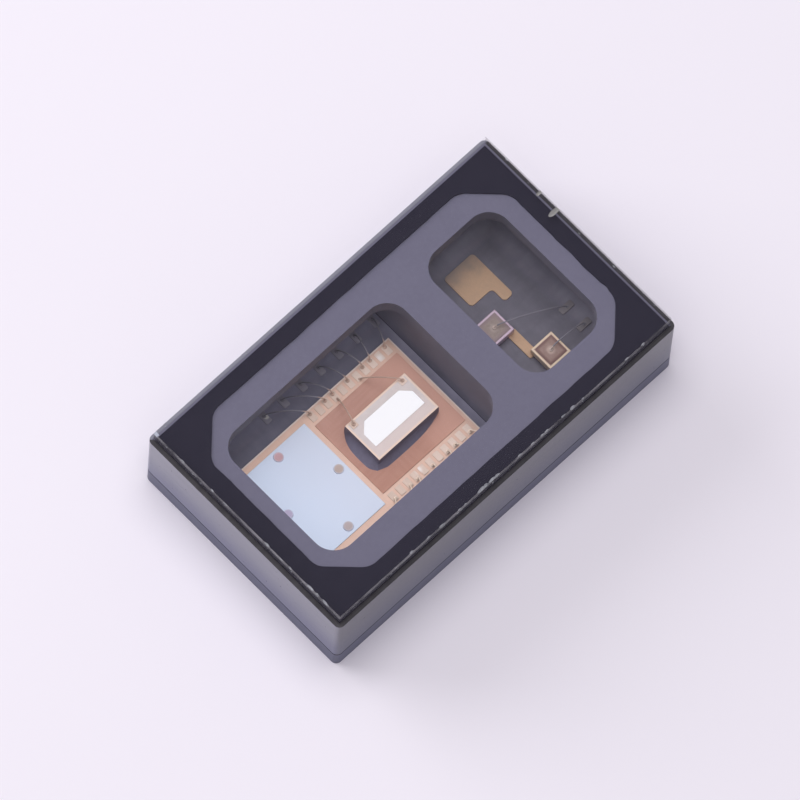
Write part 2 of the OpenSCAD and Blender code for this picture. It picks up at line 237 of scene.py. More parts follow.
# Soft lamps, all at one distance: direction, size and level
LAMP_DISTANCE = 80
LAMPS = {
    "overhead_lamp": (Vector((0.053, 0.092, 0.994)), 55, 0.43),
    "front_lamp": (Vector((-0.26, -0.22, 0.94)), 50, 0.11),
    "side_lamp": (Vector((-0.295, 0.857, 0.423)), 70, 0.57),
}

# Floor: half its width in metres, and the size of its faint clouds in millimetres
FLOOR_REACH = 2.0
FLOOR_CLOUDS = 6.0


# Camera

def add_camera():
    """Camera at the photograph's angle, rolled a little."""
    level = math.cos(VIEW_ELEVATION)
    aside = math.sin(VIEW_AZIMUTH) * level
    before = -math.cos(VIEW_AZIMUTH) * level
    back = Vector((aside, before, math.sin(VIEW_ELEVATION)))
    right = Vector((0, 0, 1)).cross(back).normalized()
    up = back.cross(right)
    rolled_right = right * math.cos(VIEW_ROLL) + up * math.sin(VIEW_ROLL)
    rolled_up = up * math.cos(VIEW_ROLL) - right * math.sin(VIEW_ROLL)
    lens = bpy.data.cameras.new("photo_view")
    lens.sensor_width = FILM_MM
    lens.lens = FILM_MM * FOCAL_PIXELS / FRAME_PIXELS
    lens.clip_start = NEAR_CLIP
    camera = bpy.data.objects.new("photo_view", lens)
    turn = Matrix((rolled_right, rolled_up, back)).transposed().to_4x4()
    camera.matrix_world = Matrix.Translation((VIEW_TARGET + back * VIEW_DISTANCE) * MM) @ turn
    bpy.context.scene.collection.objects.link(camera)
    bpy.context.scene.camera = camera


add_camera()


# Finishes

class Value:
    """A socket in a node tree. Arithmetic on it adds Math nodes."""

    def __init__(self, nodes, socket):
        self.nodes = nodes
        self.socket = socket

    def __add__(self, other):
        return self.nodes.calculate("ADD", self, other)

    def __sub__(self, other):
        return self.nodes.calculate("SUBTRACT", self, other)

    def __rsub__(self, other):
        return self.nodes.calculate("SUBTRACT", other, self)

    def __mul__(self, other):
        return self.nodes.calculate("MULTIPLY", self, other)

    def __pow__(self, other):
        return self.nodes.calculate("POWER", self, other)

    def __abs__(self):
        return self.nodes.calculate("ABSOLUTE", self, 0.0)

    def at_least(self, other):
        return self.nodes.calculate("MAXIMUM", self, other)

    def at_most(self, other):
        return self.nodes.calculate("MINIMUM", self, other)

    __radd__ = __add__
    __rmul__ = __mul__


class Nodes:
    """A node tree that is built by expressions."""

    def __init__(self, tree):
        self.tree = tree

    def feed(self, socket, value):
        """Link a value to a socket, or set a number or a colour on it."""
        if isinstance(value, Value):
            self.tree.links.new(value.socket, socket)
        elif socket.type == "RGBA":
            socket.default_value = (*value, 1.0)
        else:
            socket.default_value = value

    def node(self, kind, settings, sockets, output=0):
        """Add a node: its settings are set first, then its sockets get values or links."""
        made = self.tree.nodes.new(kind)
        for name, setting in settings.items():
            setattr(made, name, setting)
        for key, value in sockets.items():
            self.feed(made.inputs[key], value)
        return Value(self, made.outputs[output])

    def calculate(self, operation, first, second):
        return self.node("ShaderNodeMath", {"operation": operation}, {0: first, 1: second})


class Finish(Nodes):
    """A Principled material whose patterns read Object coordinates."""

    def __init__(self, name, specular=0.5, metallic=0.0):
        self.material = bpy.data.materials.new(name)
        self.material.use_nodes = True
        super().__init__(self.material.node_tree)
        self.surface = self.tree.nodes["Principled BSDF"]
        self.coordinates = self.tree.nodes.new("ShaderNodeTexCoord")
        self.paint("Specular IOR Level", specular)
        self.paint("Metallic", metallic)

    def paint(self, socket, value):
        self.feed(self.surface.inputs[socket], value)

    def complete(self, colour, roughness, relief, depth):
        """Paint the colour and the roughness, and raise a relief of the given depth in millimetres."""
        self.paint("Base Color", colour)
        self.paint("Roughness", roughness)
        sockets = {"Strength": 1.0, "Distance": depth * MM, "Height": relief}
        self.paint("Normal", self.node("ShaderNodeBump", {}, sockets))
        return self

    def clear(self):
        """A shader that light passes straight through."""
        return self.node("ShaderNodeBsdfTransparent", {}, {"Color": (1.0, 1.0, 1.0)})

    def opaque(self):
        """The Principled shader itself."""
        return Value(self, self.surface.outputs[0])

    def show_mix(self, factor, first, second):
        """Show a blend of two shaders."""
        mixed = self.node("ShaderNodeMixShader", {}, {0: factor, 1: first, 2: second})
        self.feed(self.tree.nodes["Material Output"].inputs["Surface"], mixed)
        return self

    def along(self, axis):
        """Place along X, Y or Z, in millimetres."""
        where = Value(self, self.coordinates.outputs["Object"])
        return self.node("ShaderNodeSeparateXYZ", {}, {0: where}, axis) * (1 / MM)

    def facing(self, axis):
        """How far the surface faces along an axis, from -1 to 1."""
        normal = Value(self, self.coordinates.outputs["Normal"])
        return self.node("ShaderNodeSeparateXYZ", {}, {0: normal}, axis)

    def upright(self):
        """1 where the surface stands upright, 0 where it is level."""
        return 1 - self.band(abs(self.facing("Z")), 0.3, 0.7)

    def on_top(self):
        """1 where the surface looks up, 0 on its sides."""
        return self.band(self.facing("Z"), 0.5, 0.8)

    def grain(self, size, detail=2.0, stretch=(1, 1, 1)):
        """Soft random pattern from 0 to 1, with grains of the given size in millimetres."""
        where = Value(self, self.coordinates.outputs["Object"])
        scale = tuple(s / (size * MM) for s in stretch)
        placed = self.node("ShaderNodeMapping", {}, {"Vector": where, "Scale": scale})
        return self.node("ShaderNodeTexNoise", {}, {"Vector": placed, "Scale": 1.0, "Detail": detail}, "Fac")

    def band(self, value, low, high):
        """Smooth step from 0 at low to 1 at high."""
        limits = {"Value": value, "From Min": low, "From Max": high}
        return self.node("ShaderNodeMapRange", {"interpolation_type": "SMOOTHSTEP"}, limits)

    def mix(self, factor, first, second):
        """Blend of two colours."""
        return self.node("ShaderNodeMix", {"data_type": "RGBA"}, {0: factor, 6: first, 7: second}, 2)

    def edge_distance(self, low, high):
        """Distance inwards from the sides of a box seen from above, in millimetres."""
        from_x = (high.x - low.x) / 2 - abs(self.along("X") - (high.x + low.x) / 2)
        from_y = (high.y - low.y) / 2 - abs(self.along("Y") - (high.y + low.y) / 2)
        return from_x.at_most(from_y)

    def spot(self, place, inner, outer):
        """Round spot seen from above: 1 within the inner radius, 0 past the outer one."""
        across = self.along("X") - place.x
        beside = self.along("Y") - place.y
        return 1 - self.band((across * across + beside * beside) ** 0.5, inner, outer)


# Depths under the outer sides where the saw-cut finish begins and is full, the height below which the inner
# walls take the most painted light, and the height over which painted shade rises from the lid's foot
CUT_BEGINS = 0.05
CUT_FULL = 0.03
LOW_WALL_TOP = 0.35
FOOT_H = 0.75


def lid_moulding():
    """Dark filled moulding: fine grain inside, glossier saw-cut outer sides, with painted light on its inner
    walls and painted shade on its outer sides.
    """
    finish = Finish("lid_moulding")
    grain = finish.grain(0.05, detail=3.0)
    clouds = finish.grain(0.4)
    saw_lines = finish.grain(0.03, detail=2.0, stretch=(0.05, 0.05, 1))
    from_end = finish.band(abs(finish.along("X")), half_l - CUT_BEGINS, half_l - CUT_FULL)
    from_side = finish.band(abs(finish.along("Y")), half_w - CUT_BEGINS, half_w - CUT_FULL)
    cut = from_end.at_least(from_side)
    level = finish.mix(grain * 0.7 + clouds * 0.3, (0.119, 0.113, 0.169), (0.160, 0.152, 0.217))
    # Painted light: the walls inside are painted lighter than the level faces, the low walls under the roof
    # most, where the roof's shade falls
    rim_walls_painted_light = finish.mix(grain, (0.145, 0.137, 0.185), (0.198, 0.188, 0.243))
    low_walls_painted_light = finish.mix(grain, (0.280, 0.265, 0.350), (0.350, 0.332, 0.430))
    walls = finish.mix(finish.band(finish.along("Z"), LOW_WALL_TOP, roof_bottom), low_walls_painted_light, rim_walls_painted_light)
    moulded = finish.mix(finish.upright(), level, walls)
    cut_grain = saw_lines * 0.6 + grain * 0.4
    # Painted shade: the long sides are painted darker than the ends, as a shaded copy of the same saw-cut
    # finish, and both are painted darker and bluer towards the foot
    sawn = finish.mix(cut_grain, (0.185, 0.183, 0.232), (0.290, 0.285, 0.350))
    end_foot_shade = finish.mix(cut_grain, (0.103, 0.108, 0.192), (0.167, 0.173, 0.280))
    dull = finish.mix(cut_grain, (0.090, 0.088, 0.113), (0.142, 0.138, 0.170))
    long_side_foot_shade = finish.mix(cut_grain, (0.078, 0.081, 0.132), (0.130, 0.134, 0.200))
    foot_shade = 1 - finish.band(finish.along("Z"), lid_low.z, lid_low.z + FOOT_H)
    ends = finish.mix(foot_shade, sawn, end_foot_shade)
    long_sides = finish.mix(foot_shade, dull, long_side_foot_shade)
    cut_faces = finish.mix(finish.band(abs(finish.facing("Y")), 0.4, 0.9), ends, long_sides)
    colour = finish.mix(cut, moulded, cut_faces)
    relief = grain * 0.5 + cut * saw_lines * 0.5
    return finish.complete(colour, roughness=0.5 + 0.15 * grain - 0.27 * cut, relief=relief, depth=0.002)


# Floor of the hollows: where the emitters' end begins, and where it is painted paler under the roof as
# painted light, against the roof's shade
EMITTER_END = (0.7, 0.9)
LIT_FLOOR_SIDE = (1.0, 1.2)
LIT_FLOOR_SIDE_LEAD = 0.15
LIT_FLOOR_END = (2.15, 2.45)
LIT_FLOOR_BESIDE_DIE = (0.38, 0.6)


def laminate():
    """Navy-black glass laminate: satin mask on its faces, painted paler under the roof as painted light,
    plies and fibre ends on the sawn sides.
    """
    finish = Finish("laminate", specular=0.4)
    warp = finish.grain(0.09, detail=2.0, stretch=(1, 0.35, 1))
    weft = finish.grain(0.09, detail=2.0, stretch=(0.35, 1, 1))
    weave = warp * weft * 2.2
    fibres = finish.grain(0.03, detail=2.0, stretch=(0.15, 0.15, 1))
    side = finish.upright()
    emitter_end = finish.band(finish.along("X"), *EMITTER_END)
    sensor_mask = finish.mix(weave, (0.185, 0.178, 0.246), (0.235, 0.223, 0.300))
    emitter_mask = finish.mix(weave, (0.140, 0.132, 0.170), (0.190, 0.178, 0.222))
    # Painted light: the floor is painted paler towards the roof's far side and far end and beside the die,
    # where the roof's shade falls
    far_side = finish.band(finish.along("Y"), LIT_FLOOR_SIDE[0] - LIT_FLOOR_SIDE_LEAD * emitter_end, LIT_FLOOR_SIDE[1])
    far_end = finish.band(finish.along("X"), *LIT_FLOOR_END) * 0.75
    beside_die = finish.band(finish.along("X"), *LIT_FLOOR_BESIDE_DIE) * (1 - emitter_end) * 0.55
    lit_sensor_mask = finish.mix(weave, (0.340, 0.327, 0.450), (0.430, 0.408, 0.550))
    lit_emitter_mask = finish.mix(weave, (0.320, 0.303, 0.395), (0.425, 0.402, 0.500))
    painted_light_mask = finish.mix(emitter_end, lit_sensor_mask, lit_emitter_mask)
    painted_light_under_roof = far_side.at_least(far_end).at_least(beside_die)
    mask = finish.mix(painted_light_under_roof, finish.mix(emitter_end, sensor_mask, emitter_mask), painted_light_mask)
    edge = finish.mix(fibres, (0.066, 0.070, 0.125), (0.112, 0.117, 0.195))
    colour = finish.mix(side, mask, edge)
    relief = weave * 0.5 + side * fibres * 0.6
    return finish.complete(colour, roughness=0.34 + 0.1 * fibres, relief=relief, depth=0.002)


def black_adhesive():
    """Cured black adhesive, slightly lumpy."""
    finish = Finish("black_adhesive", specular=0.0)
    lumps = finish.grain(0.15)
    colour = finish.mix(lumps, (0.024, 0.022, 0.037), (0.031, 0.028, 0.045))
    return finish.complete(colour, roughness=0.45 + 0.3 * lumps, relief=lumps, depth=0.002)


def near_black_step():
    """Saw-cut step of the lid, painted near-black in blotches."""
    finish = Finish("near_black_step", specular=0.2)
    blotches = finish.grain(0.12, detail=3.0)
    colour = finish.mix(blotches, (0.042, 0.039, 0.046), (0.100, 0.093, 0.102))
    return finish.complete(colour, roughness=0.4 + 0.3 * blotches, relief=blotches, depth=0.003)


# Glass: half the depth over which the haze fades inside it, and depths of the frosted band at the top
HAZE_FADE = 0.02
FROST_BEGINS = 0.12
FROST_FULL = 0.05


def polished_glass():
    """Clear pane: its outer face has a faint haze, and turns white at a glance."""
    finish = Finish("polished_glass")
    finish.paint("Base Color", (0.97, 0.93, 1.0))
    finish.paint("Roughness", 0.3)
    edge_on = finish.node("ShaderNodeLayerWeight", {}, {"Blend": 0.5}, "Facing")
    middle = (glass_low.z + glass_high.z) / 2
    outer = finish.band(finish.along("Z"), middle - HAZE_FADE, middle + HAZE_FADE)
    hazed = (GLASS_HAZE + (1 - GLASS_HAZE) * edge_on ** 5) * outer
    return finish.show_mix(hazed, finish.clear(), finish.opaque())


def sawn_glass(name, clear_share):
    """Sides of the glass: dark lines of the saw, frosted in patches near the top, and partly clear."""
    finish = Finish(name, specular=0.25)
    lines = finish.grain(0.03, detail=3.0, stretch=(0.12, 0.12, 1))
    patches = finish.grain(0.11)
    streaks = finish.mix(lines * 0.5 + patches * 0.5, (0.014, 0.013, 0.019), (0.078, 0.074, 0.092))
    frosted = finish.mix(finish.band(finish.grain(0.35), 0.3, 0.7), (0.09, 0.087, 0.095), (0.42, 0.41, 0.43))
    upper = finish.band(finish.along("Z"), glass_high.z - FROST_BEGINS, glass_high.z - FROST_FULL)
    colour = finish.mix(upper, streaks, frosted)
    finish.complete(colour, roughness=0.4 + 0.3 * patches, relief=lines, depth=0.003)
    return finish.show_mix(clear_share, finish.opaque(), finish.clear())


def chipped_glass(name, dull, bright):
    """Conchoidal chips, pale where the glass broke away."""
    finish = Finish(name)
    flakes = finish.grain(0.02)
    colour = finish.mix(flakes, dull, bright)
    return finish.complete(colour, roughness=0.2 + 0.3 * flakes, relief=flakes, depth=0.003)


def die_epoxy():
    """Dark epoxy that wets the sides of the dies."""
    finish = Finish("die_epoxy", specular=0.4)
    swirl = finish.grain(0.06)
    colour = finish.mix(swirl, (0.150, 0.138, 0.205), (0.215, 0.198, 0.275))
    return finish.complete(colour, roughness=0.4 + 0.2 * swirl, relief=swirl, depth=0.003)


# Scribe lines fade between these distances from a die's sides, the stacked die's near field from this far in
SENSOR_SCRIBE = (0.014, 0.024)
STACKED_SCRIBE = (0.016, 0.034)
STACKED_NEAR_FIELD = 0.05


def sensor_silicon():
    """Tan passivated border of the sensor die, with a pale scribe line and dark sawn sides."""
    finish = Finish("sensor_silicon")
    cloud = finish.grain(0.15, detail=3.0)
    tracks = finish.grain(0.03, detail=1.0, stretch=(1, 0.12, 1))
    top = finish.on_top()
    scribe = 1 - finish.band(finish.edge_distance(die_low, die_high), *SENSOR_SCRIBE)
    tan = finish.mix(cloud * 0.6 + tracks * 0.4, (0.72, 0.48, 0.38), (0.91, 0.655, 0.54))
    ruled = finish.mix(scribe, tan, (0.86, 0.72, 0.66))
    sides = finish.mix(tracks, (0.05, 0.05, 0.07), (0.10, 0.10, 0.13))
    colour = finish.mix(top, sides, ruled)
    finish.paint("Metallic", 0.6 * top)
    return finish.complete(colour, roughness=0.35 + 0.1 * cloud, relief=tracks, depth=0.001)


def stacked_silicon():
    """Stacked die: grey field inside an orange-tan scribe line, navy sawn sides."""
    finish = Finish("stacked_silicon")
    cloud = finish.grain(0.08, detail=3.0)
    lines = finish.grain(0.03, detail=2.0, stretch=(0.1, 0.1, 1))
    top = finish.on_top()
    scribe = 1 - finish.band(finish.edge_distance(stack_low, stack_high), *STACKED_SCRIBE)
    grey = finish.mix(cloud, (0.64, 0.57, 0.56), (0.80, 0.71, 0.69))
    middle_y = (stack_low.y + stack_high.y) / 2
    near = 1 - finish.band(finish.along("Y"), stack_low.y + STACKED_NEAR_FIELD, middle_y)
    field = finish.mix(near, grey, (0.755, 0.64, 0.612))
    ruled = finish.mix(scribe, field, (0.90, 0.70, 0.58))
    sides = finish.mix(lines, (0.140, 0.130, 0.200), (0.220, 0.204, 0.300))
    colour = finish.mix(top, sides, ruled)
    finish.paint("Metallic", 0.6 * top)
    return finish.complete(colour, roughness=0.35 + 0.15 * cloud, relief=lines, depth=0.001)


COATING_BLUE = (0.70, 0.80, 0.98)
COATING_VIOLET = (0.69, 0.735, 0.865)


def filter_coating():
    """Pale blue interference coating, drifting to violet towards the circuit side."""
    finish = Finish("filter_coating", metallic=0.6)
    cloud = finish.grain(0.45)
    mottle = finish.grain(0.05)
    drift = finish.band(finish.along("X"), coat_low.x, coat_high.x)
    blue = finish.mix(drift * 0.7 + cloud * 0.3, COATING_BLUE, COATING_VIOLET)
    colour = finish.mix(mottle * 0.3, blue, (0.78, 0.84, 0.95))
    return finish.complete(colour, roughness=0.35 + 0.1 * mottle, relief=mottle, depth=0.0006)


def dot_places():
    """Centres of the four photodiode contacts: towards +Y, +X, -Y and -X."""
    middle = (dot_low + dot_high) / 2
    reach = (dot_high - dot_low) / 2 - Vector((CONTACT_R, CONTACT_R, 0))
    turns = ((0, 1), (1, 0), (0, -1), (-1, 0))
    return [Vector((middle.x + x * reach.x, middle.y + y * reach.y)) for x, y in turns]


# Tints of the four contacts in the same order, and how far each fades
DOT_TINTS = ((0.64, 0.41, 0.44), (0.55, 0.44, 0.40), (0.53, 0.445, 0.45), (0.52, 0.46, 0.63))
DOT_FADE = (0.04, 1.15 * CONTACT_R)


def dot_metal():
    """Contacts under the coating: each a soft dot with its own tint."""
    finish = Finish("contact_dots", metallic=0.6)
    mottle = finish.grain(0.04)
    colour = COATING_VIOLET
    for place, tint in zip(dot_places(), DOT_TINTS):
        colour = finish.mix(finish.spot(place, *DOT_FADE), colour, tint)
    return finish.complete(colour, roughness=0.35 + 0.15 * mottle, relief=mottle, depth=0.0008)


# The shield turns paler from this distance past its end beside the coating
SHIELD_PALE = 0.6


def shield_metal():
    """Coppery top layer of the circuit: fine blocks and tracks show through it."""
    finish = Finish("shield_metal", metallic=0.6)
    rows = finish.grain(0.04, detail=1.0, stretch=(0.1, 1, 1))
    columns = finish.grain(0.04, detail=1.0, stretch=(1, 0.1, 1))
    blocks = finish.grain(0.22, detail=1.0)
    split = finish.band(blocks, 0.4, 0.6)
    tracks = rows * split + columns * (1 - split)
    drift = finish.band(finish.along("Y"), shield_low.y, shield_high.y)
    copper = finish.mix(drift, (0.535, 0.288, 0.222), (0.580, 0.330, 0.268))
    dark = finish.mix(drift, (0.515, 0.270, 0.207), (0.555, 0.310, 0.250))
    paler = finish.band(finish.along("X"), shield_low.x + SHIELD_PALE, shield_high.x)
    laid = finish.mix(finish.band(tracks, 0.35, 0.65), dark, copper)
    colour = finish.mix(paler, laid, (0.70, 0.40, 0.32))
    return finish.complete(colour, roughness=0.35 + 0.12 * blocks, relief=tracks, depth=0.0003)


PAD_HIGHLIGHT_FADE = (0.0, 0.07)


def pad_metal():
    """Bond pads in a paler tan than the die, each a little different, painted lighter towards the barrier end
    as painted light, with painted highlights on two of them.
    """
    finish = Finish("pad_metal", metallic=0.6)
    patches = finish.grain(0.11, detail=1.0, stretch=(1, 0.3, 1))
    grain = finish.grain(0.03)
    mottle = patches * 0.8 + grain * 0.2
    near_coat = finish.mix(mottle, (0.64, 0.49, 0.41), (0.86, 0.68, 0.58))
    # Painted light: pads are painted lighter towards the barrier end, where the barrier's shade falls
    end_painted_lighter = finish.mix(mottle, (0.78, 0.61, 0.52), (1.0, 0.83, 0.74))
    colour = finish.mix(finish.band(finish.along("X"), shield_low.x, shield_high.x), near_coat, end_painted_lighter)
    # Painted highlights: two pads get near-white spots in place of glints
    for place in PAD_HIGHLIGHTS:
        colour = finish.mix(finish.spot(place, *PAD_HIGHLIGHT_FADE), colour, (1.0, 0.92, 0.89))
    return finish.complete(colour, roughness=0.35 + 0.15 * patches, relief=grain, depth=0.0008)


# The spare land's painted shade sets in over this distance on both sides of its far edge, under the roof
FAR_EDGE_SHADE_FADE = 0.2


def plated_gold(name, far_edge_shade):
    """Soft gold plating: a fine grain with duller patches, and painted shade towards the spare land's far
    edge, under the roof.
    """
    finish = Finish(name, metallic=0.7)
    grain = finish.grain(0.03)
    patches = finish.grain(0.16)
    gold = finish.mix(grain * 0.4 + patches * 0.6, (0.78, 0.54, 0.38), (0.97, 0.70, 0.49))
    uneven = finish.along("Y") + 0.25 * patches
    far = finish.band(uneven, spare_high.y - FAR_EDGE_SHADE_FADE, spare_high.y + FAR_EDGE_SHADE_FADE)
    # Painted shade: the plating turns grey towards the spare land's far edge, under the roof
    colour = finish.mix(far_edge_shade * far, gold, (0.36, 0.32, 0.34))
    return finish.complete(colour, roughness=0.6 + 0.2 * patches, relief=grain, depth=0.0015)


# Wires: where the near row ends, how much later its painted shade begins, where the painted shade sets in,
# and the emitters' balls
NEAR_ROW = (-0.7, -0.5)
NEAR_ROW_LAG = 0.08
WIRE_SHADE_SIDE = (die_high.y - 0.04, die_high.y + 0.02)
WIRE_SHADE_END = (die_high.x, die_high.x + 0.1)
BALL_FADE = (BALL_R, 1.5 * BALL_R)


def drawn_gold():
    """Drawn wire: coppery over the sensor die and paler along the near row as painted light, painted darker
    beyond the die as painted shade.
    """
    finish = Finish("gold_wire", specular=0.3)
    grain = finish.grain(0.03)
    near = 1 - finish.band(finish.along("Y"), *NEAR_ROW)
    over_y = 1 - finish.band(abs(finish.along("Y")) - NEAR_ROW_LAG * near, *WIRE_SHADE_SIDE)
    over_x = 1 - finish.band(finish.along("X"), *WIRE_SHADE_END)
    far_row = finish.mix(grain, (0.56, 0.38, 0.31), (0.68, 0.48, 0.40))
    # Painted light: the near row is painted paler, where its balls fall in shade
    lit_near_row = finish.mix(grain, (0.84, 0.66, 0.54), (0.96, 0.78, 0.66))
    coppery = finish.mix(near, far_row, lit_near_row)
    # Painted shade: beyond the die the wires are painted grey, under the roof
    shaded_wire = finish.mix(grain, (0.24, 0.228, 0.280), (0.31, 0.295, 0.345))
    colour = finish.mix(over_y * over_x, shaded_wire, coppery)
    for kind in EMITTERS:
        low, high = box_mm(kind + "_emitter_contact")
        colour = finish.mix(finish.spot((low + high) / 2, *BALL_FADE), colour, (0.72, 0.58, 0.53))
    return finish.complete(colour, roughness=0.35 + 0.2 * grain, relief=grain, depth=0.001)


STITCH_HIGHLIGHT_FADE = (0.02, 0.045)


def finger_gold():
    """Bond fingers painted dull grey as painted shade under the roof, darker in the emitters' hollow, with
    one painted highlight at a stitch.
    """
    finish = Finish("finger_gold", metallic=0.1)
    patches = finish.grain(0.08)
    # Painted shade: gold fingers painted grey under the roof, darker in the emitters' hollow
    shaded_sensor_row = finish.mix(patches, (0.33, 0.31, 0.39), (0.41, 0.38, 0.45))
    shaded_emitter_row = finish.mix(patches, (0.24, 0.22, 0.25), (0.31, 0.28, 0.30))
    dull = finish.mix(finish.band(finish.along("X"), *EMITTER_END), shaded_sensor_row, shaded_emitter_row)
    # Painted highlight: a near-white spot at one stitch
    colour = finish.mix(finish.spot(STITCH_HIGHLIGHT, *STITCH_HIGHLIGHT_FADE), dull, (0.8, 0.78, 0.76))
    return finish.complete(colour, roughness=0.4 + 0.2 * patches, relief=patches, depth=0.001)


def mirror_metal():
    """Bright evaporated metal with a faint haze."""
    finish = Finish("mirror_metal", metallic=1.0)
    haze = finish.grain(0.1)
    colour = finish.mix(haze, (0.98, 0.98, 0.99), (1.0, 1.0, 1.0))
    return finish.complete(colour, roughness=0.15 + 0.1 * haze, relief=haze, depth=0.0004)


# Emitters: the rim, painted pale as painted light, and the shade fade by distance from the sides, the bright
# middle by its radius
EMITTER_RIM = (0.02, 0.038)
EMITTER_SHADE = (0.012, 0.05)
EMITTER_MIDDLE = (0.02, 0.075)

# Colours of the emitters, dull and bright where there are two
EMITTERS = {
    "infrared": {
        "rim": ((0.62, 0.47, 0.60), (0.82, 0.65, 0.78)),
        "mesa": ((0.30, 0.22, 0.24), (0.38, 0.29, 0.30)),
        "film": ((0.26, 0.20, 0.19), (0.46, 0.37, 0.34)),
        "film_middle": (0.52, 0.43, 0.40),
        "film_edge": (0.33, 0.25, 0.26),
    },
    "red": {
        "rim": ((0.80, 0.60, 0.48), (0.98, 0.80, 0.60)),
        "mesa": ((0.34, 0.21, 0.19), (0.44, 0.29, 0.25)),
        "film": ((0.31, 0.195, 0.17), (0.44, 0.31, 0.28)),
        "film_middle": (0.72, 0.57, 0.50),
        "film_edge": (0.24, 0.14, 0.13),
    },
}


def emitter_crystal(prefix, colours):
    """Compound crystal: a cleaved rim painted pale as painted light along its edge, around a duller mesa."""
    finish = Finish(prefix + "_crystal", specular=0.6, metallic=0.3)
    facets = finish.grain(0.04)
    # Painted light: the rim is a real cleaved edge, and its paleness is painted light scattered at the edge
    rim = 1 - finish.band(finish.edge_distance(*box_mm(prefix + "_die")), *EMITTER_RIM)
    lit_rim = finish.mix(facets, *colours["rim"])
    mesa = finish.mix(facets, *colours["mesa"])
    colour = finish.mix(rim, mesa, lit_rim)
    return finish.complete(colour, roughness=0.3 + 0.2 * facets, relief=facets, depth=0.0015)


def emitter_film(prefix, colours):
    """Thin contact on an emitter: brownish, mottled, paler in the middle and darker at its edge."""
    finish = Finish(prefix + "_film", metallic=0.3)
    low, high = box_mm(prefix + "_contact")
    mottle = finish.grain(0.035)
    centre = finish.spot((low + high) / 2, *EMITTER_MIDDLE)
    shade = 1 - finish.band(finish.edge_distance(low, high), *EMITTER_SHADE)
    film = finish.mix(shade, finish.mix(mottle, *colours["film"]), colours["film_edge"])
    colour = finish.mix(centre * (0.4 + 0.6 * mottle), film, colours["film_middle"])
    return finish.complete(colour, roughness=0.35 + 0.2 * mottle, relief=mottle, depth=0.001)


LID_FINISH = lid_moulding()
LAMINATE_FINISH = laminate()
ADHESIVE_FINISH = black_adhesive()
RIM_FINISH = near_black_step()

# Places of the glass's finishes in their list
POLISHED, SAWN, CHIPPED, BRIGHT_CHIP, DIM_CHIP, FAR_SIDE, FAR_END = range(7)
GLASS_FINISHES = [
    polished_glass(),
    sawn_glass("sawn_glass", NEAR_CLEAR),
    chipped_glass("chipped_glass", (0.20, 0.21, 0.24), (0.58, 0.59, 0.63)),
    chipped_glass("bright_chip", (0.26, 0.25, 0.25), (0.43, 0.415, 0.41)),
    chipped_glass("dim_chip", (0.28, 0.30, 0.37), (0.56, 0.59, 0.69)),
    sawn_glass("far_side_glass", FAR_SIDE_CLEAR),
    sawn_glass("far_end_glass", FAR_END_CLEAR),
]
EPOXY_FINISH = die_epoxy()
SENSOR_FINISH = sensor_silicon()
STACKED_FINISH = stacked_silicon()
COATING_FINISH = filter_coating()
DOT_FINISH = dot_metal()
SHIELD_FINISH = shield_metal()
PAD_FINISH = pad_metal()
LAND_FINISH = plated_gold("gold_plate", 0.0)
SHADED_FAR_EDGE_FINISH = plated_gold("shaded_far_edge_gold", 0.7)
WIRE_FINISH = drawn_gold()
FINGER_FINISH = finger_gold()
MIRROR_FINISH = mirror_metal()


# Shape helpers

def box_shape(low, high):
    """A closed box between two corners."""
    shape = bmesh.new()
    bmesh.ops.create_cube(shape, size=1.0)
    bmesh.ops.scale(shape, vec=high - low, verts=shape.verts)
    bmesh.ops.translate(shape, vec=(high + low) / 2, verts=shape.verts)
    return shape


def rise(edge):
    """How much higher one end of an edge is than the other."""
    return abs(edge.verts[0].co.z - edge.verts[1].co.z)


def upright_edges(shape):
    """Edges that run along Z."""
    return [edge for edge in shape.edges if rise(edge) > UPRIGHT_SHARE * edge.calc_length()]


def bevel(shape, edges, width, segments):
    """Round or chamfer edges."""
    bmesh.ops.bevel(shape, geom=edges, offset=width, offset_type="OFFSET", affect="EDGES", segments=segments,
                    profile=0.5, material=-1, clamp_overlap=True)


def round_box(low, high, radius, segments=CORNER_STEPS):
    """A box with its upright edges rounded."""
    shape = box_shape(low, high)
    bevel(shape, upright_edges(shape), radius, segments)
    return shape


def clean(shape):
    """Merge double points and the triangles of flat faces."""
    bmesh.ops.remove_doubles(shape, verts=shape.verts, dist=MERGE_DISTANCE)
    bmesh.ops.dissolve_limit(shape, angle_limit=FLAT_ANGLE, verts=shape.verts, edges=shape.edges)


def soften(shape, width):
    """Round every sharp edge a little."""
    creases = [edge for edge in shape.edges if len(edge.link_faces) == 2]
    sharp = [edge for edge in creases if edge.calc_face_angle() > EASED_ANGLE]
    bevel(shape, sharp, width, EASE_STEPS)


def loose_object(shape):
    """A passing object with this shape, for cutting."""
    mesh = bpy.data.meshes.new("tool")
    shape.to_mesh(mesh)
    shape.free()
    tool = bpy.data.objects.new("tool", mesh)
    bpy.context.scene.collection.objects.link(tool)
    return tool


def carve(shape, cutters):
    """Cut closed shapes out of another one."""
    target = loose_object(shape)
    tools = [loose_object(cutter) for cutter in cutters]
    for tool in tools:
        cut = target.modifiers.new("cut", "BOOLEAN")
        cut.operation = "DIFFERENCE"
        cut.solver = "EXACT"
        cut.use_self = True
        cut.object = tool
    left = bmesh.new()
    left.from_object(target, bpy.context.evaluated_depsgraph_get())
    for used in [target, *tools]:
        mesh = used.data
        bpy.data.objects.remove(used)
        bpy.data.meshes.remove(mesh)
    return left


